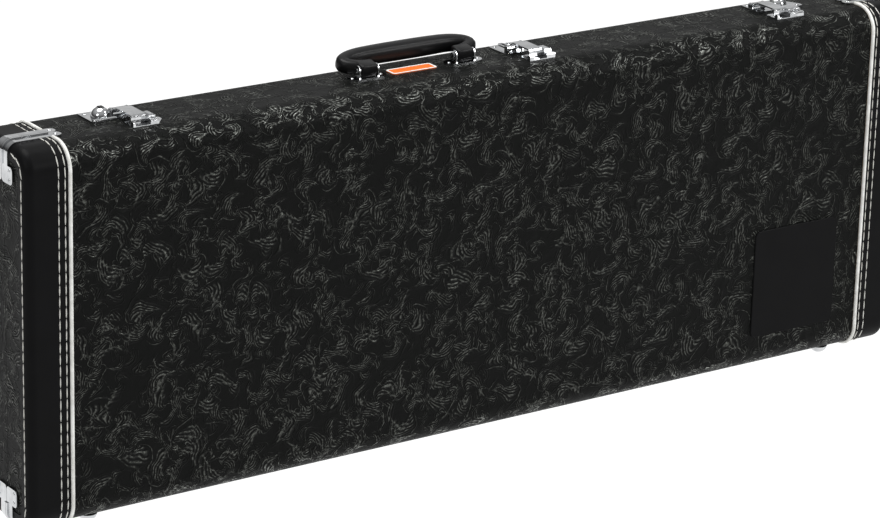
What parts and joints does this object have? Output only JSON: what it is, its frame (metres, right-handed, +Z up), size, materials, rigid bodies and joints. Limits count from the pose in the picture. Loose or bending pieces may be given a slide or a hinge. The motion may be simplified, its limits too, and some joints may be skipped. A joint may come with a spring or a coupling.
{
  "type": "electric guitar case",
  "caption": "Rectangular hardshell case for an electric guitar, with hinged lid, three hasp latches, swinging handle, chrome corner strips and a padded interior.",
  "frame": {"origin": "on the floor, under the middle of the case as it stands on its feet", "axes": "+X along the case towards the headstock end, +Y from the lid towards the base, +Z up towards the handle"},
  "size_m": [1.0398, 0.1106, 0.4014],
  "materials": {
    "embossed_vinyl": "embossed satin",
    "plywood": "raw",
    "smooth_leather": "smooth satin",
    "white_piping": "satin",
    "chrome": "polished",
    "black_plastic": "moulded satin",
    "orange_label": "gloss",
    "plush": "short plush"
  },
  "bodies": {
    "base": {"base_shell": "plywood", "base_cover": "embossed_vinyl", "base_leather_left": "smooth_leather", "base_leather_right": "smooth_leather", "base_piping_left": "white_piping", "base_piping_right": "white_piping", "base_edge_strips": "chrome", "base_feet": "chrome", "hinge_base_leaves": "chrome", "hinge_pins": "chrome", "handle_left_bracket": "chrome", "handle_right_bracket": "chrome", "handle_pins": "chrome", "label_plate": "orange_label", "latch_left_plate": "chrome", "latch_middle_plate": "chrome", "latch_right_plate": "chrome", "latch_left_dome": "chrome", "latch_right_dome": "chrome", "latch_pins": "chrome", "latch_middle_post": "chrome", "floor_pad": "plush", "waist_pad_top": "plush", "waist_pad_bottom": "plush", "neck_block": "plush", "neck_rest": "plush", "pocket_box": "plush"},
    "lid": {"lid_shell": "plywood", "lid_cover": "embossed_vinyl", "lid_leather_left": "smooth_leather", "lid_leather_right": "smooth_leather", "lid_piping_left": "white_piping", "lid_piping_right": "white_piping", "lid_edge_strips": "chrome", "lid_feet": "chrome", "hinge_lid_leaves": "chrome", "latch_left_catch": "chrome", "latch_middle_catch": "chrome", "latch_right_catch": "chrome", "lid_patch": "smooth_leather", "lid_pad": "plush"},
    "handle": {"handle_grip": "black_plastic"},
    "hasp_left": {"latch_left_hasp": "chrome"},
    "hasp_middle": {"latch_middle_hasp": "chrome"},
    "hasp_right": {"latch_right_hasp": "chrome"},
    "button_left": {"latch_left_button": "black_plastic"},
    "button_right": {"latch_right_button": "black_plastic"},
    "lock_loop": {"latch_middle_loop": "chrome"},
    "pocket_cover": {"pocket_lid": "plush", "pocket_tab": "smooth_leather"}
  },
  "joints": [
    {"name": "lid_hinge", "type": "hinge", "parent": "base", "child": "lid", "pos_m": [0, -0.0095, 0.0037], "axis": [1, 0, 0], "range_deg": [0, 105]},
    {"name": "handle_swing", "type": "hinge", "parent": "base", "child": "handle", "pos_m": [-0.0635, 0.001, 0.3875], "axis": [1, 0, 0], "range_deg": [0, 156]},
    {"name": "hasp_left_lift", "type": "hinge", "parent": "base", "child": "hasp_left", "pos_m": [-0.384, 0.0145, 0.3836], "axis": [-1, 0, 0], "range_deg": [0, 100]},
    {"name": "hasp_middle_lift", "type": "hinge", "parent": "base", "child": "hasp_middle", "pos_m": [0.063, 0.0145, 0.3836], "axis": [-1, 0, 0], "range_deg": [0, 100]},
    {"name": "hasp_right_lift", "type": "hinge", "parent": "base", "child": "hasp_right", "pos_m": [0.37, 0.0145, 0.3836], "axis": [-1, 0, 0], "range_deg": [0, 100]},
    {"name": "button_left_press", "type": "slide", "parent": "base", "child": "button_left", "axis": [0, 0, -1], "range_m": [0, 0.0015], "stiffness_N_per_m": 800},
    {"name": "button_right_press", "type": "slide", "parent": "base", "child": "button_right", "axis": [0, 0, -1], "range_m": [0, 0.0015], "stiffness_N_per_m": 800},
    {"name": "lock_loop_lift", "type": "hinge", "parent": "base", "child": "lock_loop", "pos_m": [0.0487, 0.0002, 0.385], "axis": [1, 0, 0], "range_deg": [0, 110]},
    {"name": "pocket_lid_lift", "type": "hinge", "parent": "base", "child": "pocket_cover", "pos_m": [0.11, -0.0067, 0.3695], "axis": [-1, 0, 0], "range_deg": [0, 11]}
  ]
}
